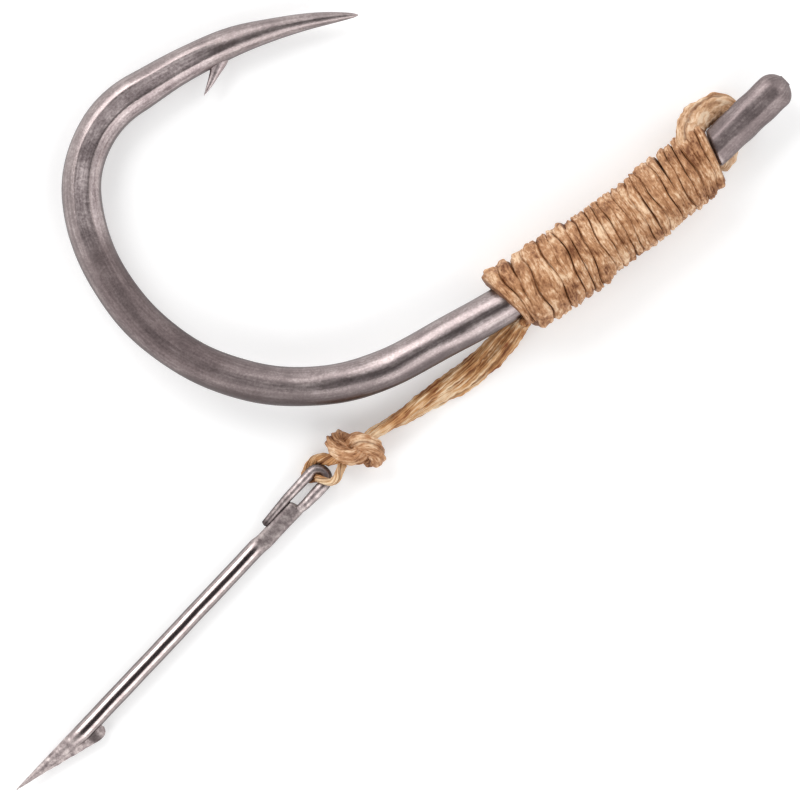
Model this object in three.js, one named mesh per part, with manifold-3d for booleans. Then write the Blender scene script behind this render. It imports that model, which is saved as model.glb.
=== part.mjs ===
// Steel fish hook with a cord lashing on its shank, a two-strand leader and a barbed needle.
// Millimetres, +Z up. The hook lies on the plane z = 0 as it would on a table, seen from above.
// The origin is the middle of the outline, on that plane.

import * as THREE from 'three'
import { mergeVertices } from 'three/addons/utils/BufferGeometryUtils.js'
import Module from 'manifold-3d'

const wasm = await Module()
wasm.setup()

// Main hook: one round bar, listed from the head end round the bend to the point
const bar_diameter = 6.4
const head_end = new THREE.Vector2(61.05, 51.25)
const head_heading = 224.0
const head_straight = 10.9
const shank_curve_radius = 201.7
const shank_curve_angle = 15.2
const shank_straight = 11.3
const bend_radius = 35.4
const bend_angle = 100.1
const upper_bend_radius = 25.3
const upper_bend_angle = 15.8
const throat_radius = 17.8
const throat_angle = 61.5
const throat_straight = 5.0
const point_radius = 69.5
const point_angle = 27.5
const point_taper_length = 38
const point_taper_power = 0.56
const point_tip_diameter = 0.2
const station_spacing = 4.5

// Head: hammered to eight flats, with a filed neck behind it
const head_length = 15.7
const head_width = 6.1
const head_width_at_neck = 5.2
const head_thickness = 4.9
const head_dome = 2.6
const head_end_flat = 0.15
const neck_diameter = 4.2
const neck_length = 1.6
const shoulder_length = 0.7
const neck_rise_length = 1.0

// Barb inside the point
const barb_from_tip = 23.4
const barb_length = 5.6
const barb_lean = 45
const barb_root_width = 2.5
const barb_root_thickness = 1.7
const barb_taper_power = 0.8

// Lashing: one cord wound up the shank, thick in its first turns
const seat_gap = 0.3
const fine_cord = 2.06
const fine_pitch = 2.62
const fine_turns = 9
const thick_cord = 2.68
const thick_pitch = 3.2
const thick_turns = 3.4
const last_stride = 4.0
const exit_cord = 1.9
const lashing_start = 17.9

// Head loop: a flattened bight that passes behind the head
const loop_width = 3.2
const loop_end_width = 2.4
const loop_thickness = 2.2

// Leader, knot and eye loop
const leader_cord = 1.7
const knot_cord = 1.6
const knot_unit_along = 2.95
const knot_unit_across = 2.35
const knot_unit_up = 2.4
const knot_middle = new THREE.Vector2(-7.6, -7.76)
const knot_heading = 210
const eye_cord = 0.9

// Barbed needle: one wire, from the tip to the top of its eye
const needle_tip_start = new THREE.Vector2(-61.06, -63.36)
const needle_heading = 46.7
const needle_length = 71.6
const needle_wire = 2.9
const blade_length = 16.5
const blade_width = 4.8
const blade_thickness = 1.9
const blade_edge_thickness = 0.5
const blade_full_thickness_at = 10
const barb_end_slant = 0.8
const wire_point_length = 14
const wire_point_power = 0.75
const plate_start = 54.8
const plate_length = 9.1
const plate_width = 2.8
const plate_thickness = 2.3
const plate_side_set = 0.2
const plate_rise = 0.1
const plate_forging_length = 1.6
const eye_wire = 1.35
const eye_hole_width = 1.5
const eye_side_set = 0.45
const eye_rise = 0.75
const eye_tail_end = 58.1
const eye_tail_sink = 0.3
const eye_root = 1.5

const steel_grey = 0x8f8383
const needle_grey = 0x9c9292
const cord_tan = 0xc39a63
const cord_gold = 0xd9a860

const radians = THREE.MathUtils.degToRad
const up = new THREE.Vector3(0, 0, 1)
const group = new THREE.Group()

function addMesh(parent, name, geometry, color, roughness, metalness) {
  const material = new THREE.MeshStandardMaterial({ color, roughness, metalness })
  const mesh = new THREE.Mesh(geometry, material)
  mesh.name = name
  parent.add(mesh)
  return mesh
}

// Solids from rings of points, and joining them

// rings: each a list of Vector3 running counter-clockwise seen from the next ring.
function loft(rings) {
  const sides = rings[0].length
  const last = rings.length - 1
  const positions = []
  const index = []
  for (const ring of rings) {
    for (const point of ring) positions.push(point.x, point.y, point.z)
  }
  for (let i = 0; i < last; i++) {
    for (let k = 0; k < sides; k++) {
      const a = i * sides + k
      const b = i * sides + (k + 1) % sides
      index.push(a, b, b + sides, a, b + sides, a + sides)
    }
  }
  const ends = [[0, false], [last, true]]
  for (const [i, forward] of ends) {
    const middle = positions.length / 3
    const centre = new THREE.Vector3()
    for (const point of rings[i]) centre.addScaledVector(point, 1 / sides)
    positions.push(centre.x, centre.y, centre.z)
    for (let k = 0; k < sides; k++) {
      const a = i * sides + k
      const b = i * sides + (k + 1) % sides
      index.push(middle, forward ? a : b, forward ? b : a)
    }
  }
  const geometry = new THREE.BufferGeometry()
  geometry.setAttribute('position', new THREE.Float32BufferAttribute(positions, 3))
  geometry.setIndex(index)
  return geometry
}

const roundSection = (half_width, half_thickness) => {
  return (angle) => [half_width * Math.cos(angle), half_thickness * Math.sin(angle)]
}

// A ring of points round a centre. size(angle) gives the two half extents along side and top.
function ring(centre, side, top, count, size) {
  const points = []
  for (let k = 0; k < count; k++) {
    const angle = 2 * Math.PI * k / count
    const [across, high] = size(angle)
    points.push(centre.clone().addScaledVector(side, across).addScaledVector(top, high))
  }
  return points
}

// Sweeps a section of half extents size(i) along points, its wide side lying square to upward.
function sweep(points, sides, size, upward) {
  const rings = points.map((point, i) => {
    const before = points[Math.max(i - 1, 0)]
    const after = points[Math.min(i + 1, points.length - 1)]
    const along = after.clone().sub(before).normalize()
    const lift = typeof upward === 'function' ? upward(i) : upward
    const side = new THREE.Vector3().crossVectors(lift, along).normalize()
    const top = new THREE.Vector3().crossVectors(along, side)
    const [across, high] = size(i)
    return ring(point, side, top, sides, roundSection(across, high))
  })
  return loft(rings)
}

function toSolid(geometry) {
  const bare = geometry.clone()
  bare.deleteAttribute('normal')
  bare.deleteAttribute('uv')
  const merged = mergeVertices(bare, 1e-4)
  const vertProperties = new Float32Array(merged.attributes.position.array)
  const triVerts = new Uint32Array(merged.index.array)
  return new wasm.Manifold(new wasm.Mesh({ numProp: 3, vertProperties, triVerts }))
}

function fromSolid(solid) {
  const mesh = solid.getMesh()
  const geometry = new THREE.BufferGeometry()
  geometry.setAttribute('position', new THREE.BufferAttribute(mesh.vertProperties, mesh.numProp))
  geometry.setIndex(new THREE.BufferAttribute(mesh.triVerts, 1))
  return geometry
}

function join(geometries) {
  return fromSolid(geometries.map(toSolid).reduce((sum, solid) => sum.add(solid)))
}

// A cord of one diameter along a smooth line through chosen points
function cordTube(points, diameter, steps, sides = 8) {
  const section = new THREE.Shape()
  for (let k = 0; k < sides; k++) {
    const angle = 2 * Math.PI * k / sides
    const x = diameter / 2 * Math.cos(angle)
    const y = diameter / 2 * Math.sin(angle)
    if (k === 0) section.moveTo(x, y)
    else section.lineTo(x, y)
  }
  section.closePath()
  const path = new THREE.CatmullRomCurve3(points, false, 'centripetal')
  return new THREE.ExtrudeGeometry(section, { steps, extrudePath: path, curveSegments: 1 })
}

// Least distance between two stretches of one tube that lie further apart along it than apart,
// less the tube's own diameter at both
function leastSelfGap(points, diameterAt, apart) {
  let least = Infinity
  for (let i = 0; i < points.length; i++) {
    for (let j = i + apart; j < points.length; j++) {
      const gap = points[i].distanceTo(points[j]) - (diameterAt(i) + diameterAt(j)) / 2
      least = Math.min(least, gap)
    }
  }
  return least
}

// The centre line of the bent bar, in the hook's own flat plane z = 0

class BentBar {
  constructor(start, heading, pieces) {
    this.pieces = []
    this.length = 0
    let x = start.x
    let y = start.y
    let turned = radians(heading)
    for (const { straight, radius, angle } of pieces) {
      const length = straight ?? radius * radians(angle)
      this.pieces.push({ x, y, turned, radius, from: this.length, length })
      this.length += length
      const end = this.at(this.length)
      x = end.point.x
      y = end.point.y
      turned = end.heading
    }
  }

  // Place and heading at a distance from the head end. Every bend turns to the right.
  at(distance) {
    const piece = this.pieces.findLast((candidate) => candidate.from <= distance) ?? this.pieces[0]
    const run = distance - piece.from
    const { x, y, turned, radius } = piece
    if (!radius) {
      const point = new THREE.Vector3(x + run * Math.cos(turned), y + run * Math.sin(turned), 0)
      return this.frame(point, turned)
    }
    const heading = turned - run / radius
    const point = new THREE.Vector3(
      x + radius * (Math.sin(turned) - Math.sin(heading)),
      y - radius * (Math.cos(turned) - Math.cos(heading)),
      0
    )
    return this.frame(point, heading)
  }

  frame(point, heading) {
    const along = new THREE.Vector3(Math.cos(heading), Math.sin(heading), 0)
    const left = new THREE.Vector3(-Math.sin(heading), Math.cos(heading), 0)
    return { point, heading, along, left }
  }
}

const bar = new BentBar(head_end, head_heading, [
  { straight: head_straight },
  { radius: shank_curve_radius, angle: shank_curve_angle },
  { straight: shank_straight },
  { radius: bend_radius, angle: bend_angle },
  { radius: upper_bend_radius, angle: upper_bend_angle },
  { radius: throat_radius, angle: throat_angle },
  { straight: throat_straight },
  { radius: point_radius, angle: point_angle }
])
const bar_radius = bar_diameter / 2
const neck_start = head_length + shoulder_length
const neck_end = neck_start + neck_length
const shank_start = neck_end + neck_rise_length

// Main hook

function barRadiusAt(distance) {
  const from_tip = bar.length - distance
  const taper = Math.min(1, from_tip / point_taper_length)
  return Math.max(bar_radius * taper ** point_taper_power, point_tip_diameter / 2)
}

// Half extents of an eight-sided section with flats, for the sixteen points of a ring
function eightFlats(angle, half_width, half_thickness) {
  const step = Math.PI / 4
  const to_flat = Math.abs(((angle + step / 2) % step) - step / 2)
  const reach = 1 / Math.cos(to_flat)
  return [half_width * reach * Math.cos(angle), half_thickness * reach * Math.sin(angle)]
}

function hookSection(distance, angle) {
  if (distance > head_length) {
    let radius = barRadiusAt(distance)
    if (distance < shank_start) {
      const rise = THREE.MathUtils.smoothstep(distance, neck_end, shank_start)
      radius = THREE.MathUtils.lerp(neck_diameter / 2, bar_radius, rise)
    }
    return [radius * Math.cos(angle), radius * Math.sin(angle)]
  }
  const inside = Math.min(1, Math.max(distance, head_end_flat) / head_dome)
  const dome = Math.sqrt(1 - (1 - inside) ** 2)
  const width = THREE.MathUtils.lerp(head_width, head_width_at_neck, distance / head_length)
  return eightFlats(angle, dome * width / 2, dome * head_thickness / 2)
}

function hookBody() {
  const stations = [0, 0.14, 0.35, 0.65].map((share) => share * head_dome)
  stations.push(head_dome, head_length / 2, head_length, neck_start, neck_end, shank_start)
  const taper_start = bar.length - point_taper_length
  for (const piece of bar.pieces) {
    const turn = piece.radius ? piece.length / piece.radius : 0
    const steps = Math.ceil(Math.max(turn / radians(5.5), piece.length / station_spacing))
    for (let i = 1; i <= steps; i++) {
      const distance = piece.from + piece.length * i / steps
      if (distance > shank_start && distance < taper_start) stations.push(distance)
    }
  }
  const taper_steps = 16
  for (let i = 0; i <= taper_steps; i++) {
    stations.push(bar.length - point_taper_length * (1 - i / taper_steps) ** 1.5)
  }
  const rings = stations.map((distance) => {
    const { point, left } = bar.at(distance)
    return ring(point, left, up, 16, (angle) => hookSection(distance, angle))
  })
  return loft(rings)
}

// A slim spike chiselled up from the inside of the point, leaning back toward the bend
function hookBarb() {
  const root_distance = bar.length - barb_from_tip
  const root = bar.at(root_distance)
  const sunk = barRadiusAt(root_distance) / 2
  const lean = root.heading + Math.PI + radians(barb_lean)
  const away = new THREE.Vector3(Math.cos(lean), Math.sin(lean), 0)
  const side = new THREE.Vector3(-away.y, away.x, 0)
  const start = root.point.clone().addScaledVector(root.left, -sunk)
  const rings = []
  const steps = 6
  for (let i = 0; i <= steps; i++) {
    const t = i / steps
    const taper = (1 - t) ** barb_taper_power
    const width = Math.max(barb_root_width * taper, point_tip_diameter)
    const thickness = Math.max(barb_root_thickness * taper, point_tip_diameter)
    const centre = start.clone().addScaledVector(away, (barb_length + sunk) * t)
    rings.push(ring(centre, side, up, 10, roundSection(width / 2, thickness / 2)))
  }
  return loft(rings)
}

// The hook rests on three points: the far side of the bend and the lashing near both its ends

const wound_turns = fine_turns + thick_turns
const turns = wound_turns + 1
const lashing_end = lashing_start + fine_turns * fine_pitch + thick_turns * thick_pitch + last_stride
const under_fine_cord = bar_radius + seat_gap + fine_cord
const under_thick_cord = bar_radius + seat_gap + thick_cord

function farthestFrom(start, end) {
  const line = new THREE.Line3(start, end)
  const nearest = new THREE.Vector3()
  let farthest = { distance: 0, point: start }
  for (let distance = shank_start; distance < bar.length - point_taper_length; distance += 0.5) {
    const { point } = bar.at(distance)
    line.closestPointToPoint(point, false, nearest)
    const away = nearest.distanceTo(point)
    if (away > farthest.distance) farthest = { distance: away, point }
  }
  return farthest.point
}

function restingPlane() {
  const lower = bar.at(lashing_end - last_stride - thick_pitch / 2).point
  const upper = bar.at(lashing_start + fine_pitch / 2).point
  const far = farthestFrom(lower, upper)
  const under = (point, depth) => point.clone().setZ(-depth)
  const plane = new THREE.Plane().setFromCoplanarPoints(
    under(lower, under_thick_cord),
    under(upper, under_fine_cord),
    under(far, bar_radius)
  )
  if (plane.normal.z < 0) plane.negate()
  return plane
}

const hook_group = new THREE.Group()
const resting = restingPlane()
const middle_of_hook = bar.at(lashing_end).point
hook_group.quaternion.setFromUnitVectors(resting.normal, up)
hook_group.position.copy(middle_of_hook).sub(middle_of_hook.clone().applyQuaternion(hook_group.quaternion))
hook_group.position.z = resting.constant
group.add(hook_group)
hook_group.updateMatrixWorld(true)

addMesh(hook_group, 'main_hook', join([hookBody(), hookBarb()]), steel_grey, 0.42, 0.9)

// Lashing

const turn_steps = 24
const start_angle = radians(144)

function cordAt(turn) {
  const thickening = THREE.MathUtils.smoothstep(turn, fine_turns - 0.3, fine_turns + 0.5)
  const thinning = THREE.MathUtils.smoothstep(turn, turns - 0.5, turns)
  const wound = THREE.MathUtils.lerp(fine_cord, thick_cord, thickening)
  return THREE.MathUtils.lerp(wound, exit_cord, thinning)
}

// Distance along the bar. The cord strides ahead under the bar before its last crossing.
function courseAt(turn) {
  const fine = Math.min(turn, fine_turns)
  const thick = THREE.MathUtils.clamp(turn - fine_turns, 0, thick_turns)
  const stride = THREE.MathUtils.smoothstep(turn, wound_turns, wound_turns + 0.5)
  return lashing_start + fine * fine_pitch + thick * thick_pitch + stride * last_stride
}

function lashingPoint(turn) {
  const radius = bar_radius + seat_gap + cordAt(turn) / 2
  const angle = start_angle - 2 * Math.PI * turn
  const { point, left } = bar.at(courseAt(turn))
  return point.clone().addScaledVector(left, radius * Math.cos(angle)).setZ(radius * Math.sin(angle))
}

// Both ends of the winding run straight for one diameter
const first = lashingPoint(0)
const first_direction = lashingPoint(0.01).sub(first).normalize()
const lead_in = first.clone().addScaledVector(first_direction, -fine_cord)
const lead_out = lashingPoint(turns).add(new THREE.Vector3(0, 0, -exit_cord))

function lashing() {
  const points = [lead_in]
  const outward = [first.clone().sub(bar.at(lashing_start).point).normalize()]
  const diameters = [fine_cord]
  const steps = Math.round(turns * turn_steps)
  for (let i = 0; i <= steps; i++) {
    const turn = i / turn_steps
    const point = lashingPoint(turn)
    points.push(point)
    outward.push(point.clone().sub(bar.at(courseAt(turn)).point).normalize())
    diameters.push(cordAt(turn))
  }
  points.push(lead_out)
  outward.push(outward[outward.length - 1])
  diameters.push(exit_cord)
  const apart = Math.round(turn_steps * 0.7)
  console.log('lashing self gap', leastSelfGap(points, (i) => diameters[i], apart).toFixed(2))
  return sweep(points, 6, (i) => [diameters[i] / 2, diameters[i] / 2], (i) => outward[i])
}

addMesh(hook_group, 'shank_lashing', lashing(), cord_tan, 0.9, 0)

// The hook and its lashing are let down until they touch the table
hook_group.position.z -= new THREE.Box3().setFromObject(hook_group, true).min.z
hook_group.updateMatrixWorld(true)

const toPoints = (list) => list.map(([x, y, z]) => new THREE.Vector3(x, y, z))

// Head loop: from the start of the winding down beside the neck, behind the head and back to
// the first turn on the other side
const head_loop = [
  [45.0, 43.3, 5.9], [45.1, 44.2, 4.7], [46.4, 45.7, 3.3], [48.7, 47.1, 2.0], [51.0, 47.2, 1.45],
  [52.5, 45.6, 1.35], [53.0, 43.2, 1.35], [52.8, 40.8, 1.6], [52.1, 38.6, 2.3], [51.0, 36.9, 3.2]
]

function headLoop() {
  const curve = new THREE.CatmullRomCurve3(toPoints(head_loop), false, 'centripetal')
  const steps = 22
  const spread = (i) => THREE.MathUtils.lerp(loop_end_width, loop_width, Math.sin(Math.PI * i / steps)) / 2
  return sweep(curve.getPoints(steps), 10, (i) => [spread(i), loop_thickness / 2], up)
}

addMesh(group, 'head_loop', headLoop(), cord_tan, 0.9, 0)

// Leader: two strands that lie on the table and meet one above the other at the knot

const exit_seat = hook_group.localToWorld(lead_out.clone())
const leader_start = exit_seat.clone().setZ(exit_seat.z - seat_gap)
const strand_wound = [
  [leader_start.x, leader_start.y, leader_start.z], [leader_start.x, leader_start.y, leader_start.z - 0.7],
  [18.3, 10.8, 1.25], [16.7, 9.2, 0.92], [14.2, 6.5, 0.88], [10.9, 3.6, 0.88], [7.4, 1.4, 0.88],
  [4.0, -0.5, 0.9], [0.9, -2.3, 1.05], [-2.0, -3.7, 1.2], [-4.45, -5.1, 1.25]
]
const strand_nipped = [
  [18.5, 14.7, 1.4], [16.7, 13.3, 1.3], [15.0, 11.5, 1.1], [13.2, 9.3, 1.0], [11.2, 7.1, 1.1],
  [8.5, 4.6, 1.5], [5.2, 2.0, 2.3], [1.6, -0.9, 3.0], [-1.2, -3.1, 3.2], [-4.2, -4.93, 3.25]
]
const wound_tube = cordTube(toPoints(strand_wound), leader_cord, 14)
const nipped_tube = cordTube(toPoints(strand_nipped), leader_cord, 12)
addMesh(group, 'leader_strand_wound', wound_tube, cord_gold, 0.85, 0)
addMesh(group, 'leader_strand_nipped', nipped_tube, cord_gold, 0.85, 0)

// Knot: an overhand knot, the same seen from either end. Half of it, in knot units along the
// leader toward the needle, across it and up.
const knot_half = [
  [0, 0, -0.95], [0.27, -0.75, -0.9], [0.63, -1.25, -0.42], [0.92, -1.2, 0.3], [0.94, -0.63, 0.84],
  [0.63, 0.08, 0.88], [0.12, 0.48, 0.46], [-0.49, 0.36, 0], [-1.28, 0, -0.24]
]

function knotPoints() {
  const other_half = knot_half.slice(1).map(([x, y, z]) => [-x, -y, z])
  const whole = [...other_half.reverse(), ...knot_half]
  const middle_height = 0.95 * knot_unit_up + knot_cord / 2 + 0.02
  const turn = radians(knot_heading)
  return whole.map(([x, y, z]) => {
    const along = x * knot_unit_along
    const across = y * knot_unit_across
    return new THREE.Vector3(
      knot_middle.x + along * Math.cos(turn) - across * Math.sin(turn),
      knot_middle.y + along * Math.sin(turn) + across * Math.cos(turn),
      middle_height + z * knot_unit_up
    )
  })
}

function knot() {
  const points = knotPoints()
  const curve = new THREE.CatmullRomCurve3(points, false, 'centripetal')
  const line = curve.getSpacedPoints(120)
  const apart = Math.ceil(2.2 * knot_cord / (curve.getLength() / 120))
  console.log('knot self gap', leastSelfGap(line, () => knot_cord, apart).toFixed(2))
  return cordTube(points, knot_cord, 40)
}

addMesh(group, 'leader_knot', knot(), cord_gold, 0.85, 0)

// Needle, in its own frame: x from the tip to the eye, y to the left, z up from the table

const needle_group = new THREE.Group()
needle_group.position.set(needle_tip_start.x, needle_tip_start.y, 0)
needle_group.rotation.z = radians(needle_heading)
group.add(needle_group)
needle_group.updateMatrixWorld(true)

const needle_radius = needle_wire / 2
const plate_end = plate_start + plate_length
const along_y = new THREE.Vector3(0, 1, 0)

// Round wire drawn to a point along its straight left side, and hammered flat before the eye
function needleShank() {
  const rings = []
  const shares = [0.01, 0.04, 0.1, 0.2, 0.36, 0.56, 0.78, 1]
  const stations = shares.map((share) => share * wire_point_length)
  const steps = 4
  for (let i = 1; i <= steps; i++) {
    stations.push(THREE.MathUtils.lerp(wire_point_length, plate_start, i / steps))
  }
  for (const x of stations) {
    const radius = needle_radius * Math.min(1, x / wire_point_length) ** wire_point_power
    const centre = new THREE.Vector3(x, needle_radius - radius, needle_radius)
    rings.push(ring(centre, along_y, up, 16, roundSection(radius, radius)))
  }
  const plate_section = (angle) => eightFlats(angle, plate_width / 2, plate_thickness / 2)
  for (const x of [plate_start + plate_forging_length, plate_end]) {
    const centre = new THREE.Vector3(x, -plate_side_set, needle_radius + plate_rise)
    rings.push(ring(centre, along_y, up, 16, plate_section))
  }
  return loft(rings)
}

// One-sided blade: thick along the left, thin at its cutting edge, cut off at a slant at the barb
function needleBlade() {
  const rings = []
  const sides = 12
  for (const t of [0.02, 0.12, 0.3, 0.5, 0.7, 0.85, 1]) {
    const x = blade_length * t
    const half_width = Math.max(blade_width * t, point_tip_diameter) / 2
    const growth = Math.min(1, 0.2 + x / blade_full_thickness_at)
    const slant = t === 1 ? barb_end_slant : 0
    const points = []
    for (let k = 0; k < sides; k++) {
      const angle = 2 * Math.PI * k / sides
      const inward = (1 + Math.cos(angle)) / 2
      const thickness = THREE.MathUtils.lerp(blade_edge_thickness, blade_thickness, inward) * growth
      const y = needle_radius - half_width + half_width * Math.cos(angle)
      const z = needle_radius + thickness / 2 * Math.sin(angle)
      points.push(new THREE.Vector3(x + slant * (1 - inward), y, z))
    }
    rings.push(points)
  }
  return loft(rings)
}

// Thinned wire bent round to an eye, its tail laid back along the plate
function needleEye() {
  const wire = eye_wire / 2
  const turn_radius = eye_hole_width / 2 + wire
  const turn_middle = needle_length - wire - turn_radius
  const z = needle_radius + eye_rise
  const right = eye_side_set - turn_radius
  const left = eye_side_set + turn_radius
  const points = [
    // The wire's root lies inside the plate
    new THREE.Vector3(plate_end - eye_root, right, z - eye_tail_sink),
    new THREE.Vector3(plate_end, right, z),
    new THREE.Vector3(plate_end + eye_root, right, z)
  ]
  const steps = 10
  for (let i = 0; i <= steps; i++) {
    const angle = Math.PI * (i / steps - 0.5)
    const x = turn_middle + turn_radius * Math.cos(angle)
    points.push(new THREE.Vector3(x, eye_side_set + turn_radius * Math.sin(angle), z))
  }
  points.push(new THREE.Vector3(plate_end, left, z))
  points.push(new THREE.Vector3(plate_end - 2 * eye_root, left - eye_tail_sink / 2, z - eye_tail_sink / 2))
  points.push(new THREE.Vector3(eye_tail_end, left - eye_tail_sink, z - eye_tail_sink))
  return sweep(points, 10, () => [wire, wire], up)
}

addMesh(needle_group, 'barbed_needle', join([needleShank(), needleBlade(), needleEye()]), needle_grey, 0.3, 0.9)

// Eye loop, measured from the middle of the needle's hole: from the knot round the left of the
// eye and under its wire, up through the hole, over the right of the wire and back to the knot
const eye_loop = [
  [3.15, 0.35, 2.9], [2.95, 1.1, 2.1], [2.35, 1.95, 1.1], [1.4, 2.35, 0.75], [0.1, 2.3, 0.72],
  [-0.95, 1.85, 0.72], [-1.2, 1.1, 0.72], [-0.7, 0.45, 0.74], [-0.1, 0.05, 1.1], [0, 0, 1.7],
  [0, 0, 2.7], [0.1, -0.15, 3.35], [0.45, -1.0, 3.7], [1.1, -2.0, 3.7], [1.95, -2.2, 3.6],
  [2.7, -1.65, 3.4], [3.05, -0.9, 3.2]
]
const hole_middle = new THREE.Vector3(needle_length - eye_wire - eye_hole_width / 2, eye_side_set, 0)
const loop_points = toPoints(eye_loop).map((point) => needle_group.localToWorld(point.add(hole_middle)))
addMesh(group, 'eye_loop', cordTube(loop_points, eye_cord, 40), cord_gold, 0.85, 0)

export default group
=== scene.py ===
# %% [markdown]
# # A steel fish hook with a cord lashing and a barbed needle
#
# The hook is one bent and pointed steel bar. A two-ply plant-fibre cord is wound round its
# shank, runs on as a doubled leader to a small knot, and ends in a loop through the eye of a
# barbed needle. All sizes below are millimetres. The meshes are made in metres.

import math

import bpy
import numpy as np
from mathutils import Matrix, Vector


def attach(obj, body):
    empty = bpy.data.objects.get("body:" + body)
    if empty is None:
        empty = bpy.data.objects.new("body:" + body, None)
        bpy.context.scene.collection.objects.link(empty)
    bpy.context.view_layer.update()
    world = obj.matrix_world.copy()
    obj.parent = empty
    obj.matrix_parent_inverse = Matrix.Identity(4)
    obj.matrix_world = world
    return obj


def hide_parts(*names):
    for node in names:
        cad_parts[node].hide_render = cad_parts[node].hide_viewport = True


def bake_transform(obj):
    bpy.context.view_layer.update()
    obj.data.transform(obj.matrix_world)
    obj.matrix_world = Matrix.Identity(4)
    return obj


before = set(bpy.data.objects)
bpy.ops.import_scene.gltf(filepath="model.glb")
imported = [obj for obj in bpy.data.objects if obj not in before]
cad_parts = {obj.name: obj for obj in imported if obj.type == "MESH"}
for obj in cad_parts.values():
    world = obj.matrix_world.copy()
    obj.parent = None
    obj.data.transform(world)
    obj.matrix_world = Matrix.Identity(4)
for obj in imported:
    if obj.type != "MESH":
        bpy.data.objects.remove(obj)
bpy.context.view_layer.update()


# %% [markdown]
# ## Camera
#
# The hook was photographed from straight above. A long lens keeps the near and far sides of
# the bar the same size. The picture is 128 mm wide at the height of the bar's middle.

# %% Camera over the table
picture_width = 128.0
picture_middle = (-0.56, 0.08)
bar_middle_height = 4.0
camera_distance = 2000.0
sensor_width = 36.0

camera_data = bpy.data.cameras.new("camera")
camera_data.sensor_width = sensor_width
camera_data.lens = sensor_width * camera_distance / picture_width
camera_data.clip_start = 0.1
camera_data.clip_end = 10
camera = bpy.data.objects.new("camera", camera_data)
camera.location = (
    picture_middle[0] / 1000,
    picture_middle[1] / 1000,
    (bar_middle_height + camera_distance) / 1000,
)
bpy.context.collection.objects.link(camera)
bpy.context.scene.camera = camera
print("lens, mm:", round(camera_data.lens, 1))

# %% [markdown]
# ## Routes of the free cord
#
# Each route is a few points that a smooth line goes through, the middle of the cord. Two
# strands leave the winding, lie on the table and meet one above the other at the knot. The
# third route is the loose bight that passes behind the head. Places were measured in the
# photograph, and heights follow from what the cord lies on.

# %% Points of the routes
strand_wound_route = [
    (19.25, 12.8, 7.4), (19.4, 12.5, 5.6), (18.9, 11.9, 3.4), (18.0, 10.7, 1.8), (16.6, 9.1, 1.1),
    (14.2, 6.6, 0.95), (10.9, 3.6, 0.88), (7.4, 1.4, 0.88), (4.0, -0.5, 0.9),
    (0.9, -2.3, 1.05), (-2.0, -3.7, 1.2), (-4.45, -5.1, 1.35), (-6.3, -6.3, 1.9),
]
strand_nipped_route = [
    (19.5, 12.8, 2.2), (18.7, 12.6, 1.6), (17.4, 11.9, 1.4), (15.8, 10.5, 1.3), (14.0, 8.7, 1.2),
    (11.7, 6.4, 1.3), (8.8, 4.1, 1.7), (5.3, 1.8, 2.4), (1.6, -0.9, 3.0),
    (-1.2, -3.1, 3.2), (-4.2, -4.93, 3.25), (-6.1, -6.1, 3.4),
]
head_loop_route = [
    (45.9, 40.2, 9.5), (45.3, 41.6, 8.9), (45.4, 43.0, 7.5), (46.1, 44.2, 5.6), (47.3, 45.5, 3.9),
    (48.8, 46.5, 2.6), (50.5, 47.0, 1.8), (51.9, 46.6, 1.5), (52.4, 44.9, 1.45), (52.3, 42.9, 1.45),
    (52.0, 40.8, 1.7), (51.3, 38.7, 2.4), (50.5, 37.0, 3.3),
]

# %% [markdown]
# The knot is an overhand knot, and it looks the same from either end. Half of it is given in
# knot units, and the other half is that one turned half round about the upright.

# %% Knot and eye loop
knot_half = np.array([
    (0, 0, -0.95), (0.27, -0.75, -0.9), (0.63, -1.25, -0.42), (0.92, -1.2, 0.3),
    (0.94, -0.63, 0.84), (0.63, 0.08, 0.88), (0.12, 0.48, 0.46), (-0.49, 0.36, 0),
    (-1.28, 0, -0.24),
])
knot_unit = np.array([2.65, 2.15, 1.9])
knot_middle = np.array([-7.6, -7.76, 3.15])
knot_heading = math.radians(210)

needle_start = np.array([-61.06, -63.36, 0.0])
needle_heading = math.radians(46.7)
needle_length = 71.6
eye_wire = 1.35
eye_hole_width = 1.5
eye_side_set = 0.45

# Measured from the middle of the needle's eye: along the needle, to its left and up
eye_loop = np.array([
    (4.9, -0.3, 3.1), (3.7, 0.5, 2.7), (2.95, 1.25, 2.0), (2.35, 1.95, 1.1), (1.4, 2.35, 0.75),
    (0.1, 2.3, 0.72), (-0.95, 1.85, 0.72), (-1.2, 1.1, 0.72), (-0.7, 0.45, 0.74),
    (-0.1, 0.05, 1.1), (0, 0, 1.7), (0, 0, 2.7), (0.1, -0.15, 3.35), (0.45, -1.0, 3.7),
    (1.1, -2.0, 3.7), (1.95, -2.2, 3.6), (2.9, -1.9, 3.4), (4.0, -1.5, 3.2), (4.8, -1.3, 3.1),
])


def turned(points, heading):
    """Points turned about the upright by heading, counter-clockwise seen from above."""
    cosine, sine = math.cos(heading), math.sin(heading)
    across = np.array([[cosine, sine, 0], [-sine, cosine, 0], [0, 0, 1]])
    return np.asarray(points, float) @ across


other_half = knot_half[:0:-1] * (-1, -1, 1)
knot_route = turned(np.vstack([other_half, knot_half]) * knot_unit, knot_heading) + knot_middle
hole_middle = np.array([needle_length - eye_wire - eye_hole_width / 2, eye_side_set, 0])
eye_loop_route = turned(eye_loop + hole_middle, needle_heading) + needle_start

# %% [markdown]
# ## Smooth lines
#
# A centripetal Catmull-Rom line goes through every given point and never loops between two of
# them. It is then read off again at even steps, so that the twist of a cord is even too.

# %% Lines
points_per_span = 40


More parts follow.
